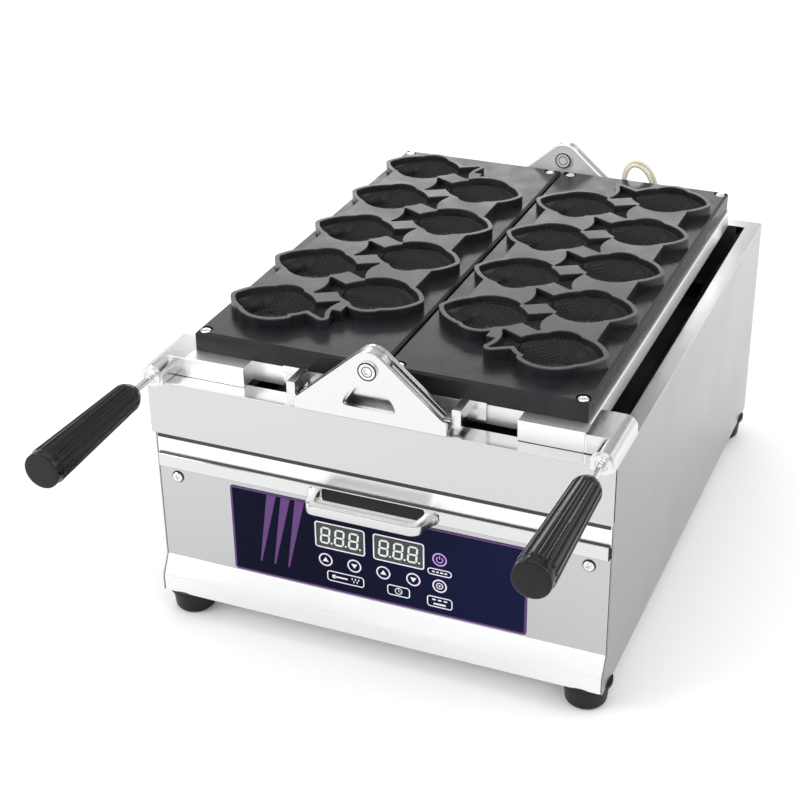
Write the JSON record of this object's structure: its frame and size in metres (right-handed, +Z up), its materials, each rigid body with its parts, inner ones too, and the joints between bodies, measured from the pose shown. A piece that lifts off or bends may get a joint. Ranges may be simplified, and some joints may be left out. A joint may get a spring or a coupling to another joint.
{
  "type": "taiyaki maker",
  "caption": "Countertop fish-cake maker: two book-fold mould halves on a central front-to-back hinge over a stainless cabinet with a crumb drawer and control panel.",
  "frame": {"origin": "bottom centre of the whole machine, on the table between the feet", "axes": "+Z up; +Y from the front control panel to the rear; +X to the right as seen from the front"},
  "size_m": [0.413, 0.689, 0.2905],
  "materials": {
    "polished_stainless": "polished",
    "satin_stainless": "satin",
    "bright_steel": "polished",
    "nonstick_cast_aluminium": "black non-stick coating",
    "black_bakelite": "moulded, slightly glossy",
    "black_rubber": "matt",
    "printed_membrane": "printed film",
    "display_plastic": "smoked",
    "circuit_board": "solder mask",
    "black_nylon": "moulded",
    "grey_nylon": "moulded",
    "extruded_aluminium": "mill",
    "fibre_blanket": "ceramic fibre",
    "glass_fibre_sleeve": "braided sleeve"
  },
  "bodies": {
    "base": {"arm_washers": "satin_stainless", "base_tray": "polished_stainless", "bracket_screws": "satin_stainless", "cable_gland": "black_nylon", "control_board": "circuit_board", "control_overlay": "printed_membrane", "deck": "polished_stainless", "drawer_runners": "satin_stainless", "foot_bolts": "satin_stainless", "foot_front_left": "black_rubber", "foot_front_right": "black_rubber", "foot_rear_left": "black_rubber", "foot_rear_right": "black_rubber", "front_panel": "polished_stainless", "front_strip": "polished_stainless", "heat_shield": "satin_stainless", "lead_grommets": "black_rubber", "led_displays": "display_plastic", "panel_screws": "polished_stainless", "pivot_bolt_front": "bright_steel", "pivot_bolt_rear": "bright_steel", "pivot_bracket_front": "bright_steel", "pivot_bracket_rear": "bright_steel", "rear_panel": "polished_stainless", "relay_heatsink": "extruded_aluminium", "side_panel_left": "polished_stainless", "side_panel_right": "polished_stainless", "terminal_block": "grey_nylon", "well_liner": "satin_stainless"},
    "left_half": {"mould_left": "nonstick_cast_aluminium", "mould_screws_left": "polished_stainless", "frame_left": "polished_stainless", "half_cover_left": "satin_stainless", "insulation_left": "fibre_blanket", "heater_left": "satin_stainless", "sensor_left": "satin_stainless", "handle_lug_left": "bright_steel", "handle_rod_left": "polished_stainless", "grip_left": "black_bakelite", "lead_gland_left": "satin_stainless", "arm_front_left": "bright_steel", "arm_rear_left": "bright_steel"},
    "right_half": {"mould_right": "nonstick_cast_aluminium", "mould_screws_right": "polished_stainless", "frame_right": "polished_stainless", "half_cover_right": "satin_stainless", "insulation_right": "fibre_blanket", "heater_right": "satin_stainless", "sensor_right": "satin_stainless", "handle_lug_right": "bright_steel", "handle_rod_right": "polished_stainless", "grip_right": "black_bakelite", "lead_gland_right": "satin_stainless", "arm_front_right": "bright_steel", "arm_rear_right": "bright_steel", "heater_lead": "glass_fibre_sleeve"},
    "drawer": {"crumb_tray": "satin_stainless", "drawer_front": "polished_stainless", "drawer_handle": "polished_stainless"}
  },
  "joints": [
    {"name": "left_half_fold", "type": "hinge", "parent": "base", "child": "left_half", "pos_m": [0, 0, 0.275], "axis": [0, 1, 0], "range_deg": [0, 180]},
    {"name": "right_half_fold", "type": "hinge", "parent": "base", "child": "right_half", "pos_m": [0, 0, 0.275], "axis": [0, 1, 0], "range_deg": [-180, 0]},
    {"name": "drawer_slide", "type": "slide", "parent": "base", "child": "drawer", "axis": [0, -1, 0], "range_m": [0, 0.3]}
  ]
}
